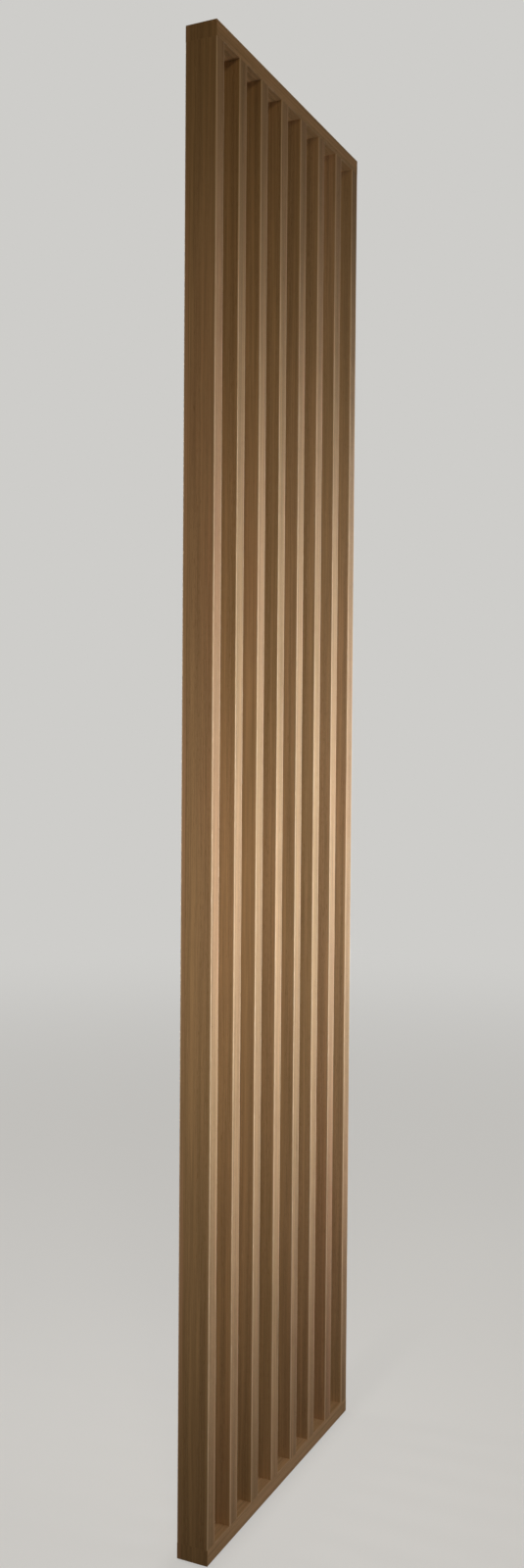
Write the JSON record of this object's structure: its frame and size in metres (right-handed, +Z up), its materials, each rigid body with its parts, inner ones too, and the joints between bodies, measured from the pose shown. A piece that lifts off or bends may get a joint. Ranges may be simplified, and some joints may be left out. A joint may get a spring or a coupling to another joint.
{
  "type": "rotating slat room divider",
  "caption": "Tall framed screen of upright wooden slats. The whole panel turns about its own centre line on pivots at the floor and the ceiling.",
  "frame": {"origin": "on the panel's turning axis, on the underside of the floor plate, which is the floor", "axes": "+Z up along the turning axis, X along the panel's width with the end nearest the camera towards -X, and the panel's front facing -Y"},
  "size_m": [0.644, 0.06, 2.664],
  "materials": {
    "oak_veneer": "satin oak veneer, straight fine grain along each piece",
    "dowel_wood": "bare beech",
    "zinc_steel": "bright zinc plate, slightly dull",
    "bronze": "turned sintered bronze, oiled",
    "acetal": "black moulded acetal, smooth"
  },
  "bodies": {
    "fixings": {"floor_plate": "zinc_steel", "floor_pin": "zinc_steel", "thrust_disc": "acetal", "ceiling_plate": "zinc_steel", "socket_bush": "acetal"},
    "panel": {"bottom_rail": "oak_veneer", "top_rail": "oak_veneer", "left_stile": "oak_veneer", "slat_1": "oak_veneer", "slat_2": "oak_veneer", "slat_3": "oak_veneer", "slat_4": "oak_veneer", "slat_5": "oak_veneer", "slat_6": "oak_veneer", "right_stile": "oak_veneer", "dowel_bottom_1": "dowel_wood", "dowel_bottom_2": "dowel_wood", "dowel_bottom_3": "dowel_wood", "dowel_bottom_4": "dowel_wood", "dowel_bottom_5": "dowel_wood", "dowel_bottom_6": "dowel_wood", "dowel_bottom_7": "dowel_wood", "dowel_bottom_8": "dowel_wood", "dowel_top_1": "dowel_wood", "dowel_top_2": "dowel_wood", "dowel_top_3": "dowel_wood", "dowel_top_4": "dowel_wood", "dowel_top_5": "dowel_wood", "dowel_top_6": "dowel_wood", "dowel_top_7": "dowel_wood", "dowel_top_8": "dowel_wood", "frame_screw_bottom_1": "zinc_steel", "frame_screw_bottom_2": "zinc_steel", "frame_screw_bottom_3": "zinc_steel", "frame_screw_bottom_4": "zinc_steel", "frame_screw_bottom_5": "zinc_steel", "frame_screw_bottom_6": "zinc_steel", "frame_screw_bottom_7": "zinc_steel", "frame_screw_bottom_8": "zinc_steel", "frame_screw_top_1": "zinc_steel", "frame_screw_top_2": "zinc_steel", "frame_screw_top_3": "zinc_steel", "frame_screw_top_4": "zinc_steel", "frame_screw_top_5": "zinc_steel", "frame_screw_top_6": "zinc_steel", "frame_screw_top_7": "zinc_steel", "frame_screw_top_8": "zinc_steel", "bush_screw_1": "zinc_steel", "bush_screw_2": "zinc_steel", "housing_screw_1": "zinc_steel", "housing_screw_2": "zinc_steel", "top_housing": "zinc_steel", "top_spring": "zinc_steel", "bottom_bush": "bronze", "housing_cap": "bronze"},
    "sprung_pin": {"top_pin": "zinc_steel"}
  },
  "joints": [
    {"name": "panel_turn", "type": "hinge", "parent": "fixings", "child": "panel", "pos_m": [0, 0, 0], "axis": [0, 0, 1], "continuous": true},
    {"name": "top_pin_slide", "type": "slide", "parent": "panel", "child": "sprung_pin", "axis": [0, 0, 1], "range_m": [-0.008, 0], "stiffness_N_per_m": 2100, "springref_m": 0.006, "deforming": ["top_spring"]}
  ]
}
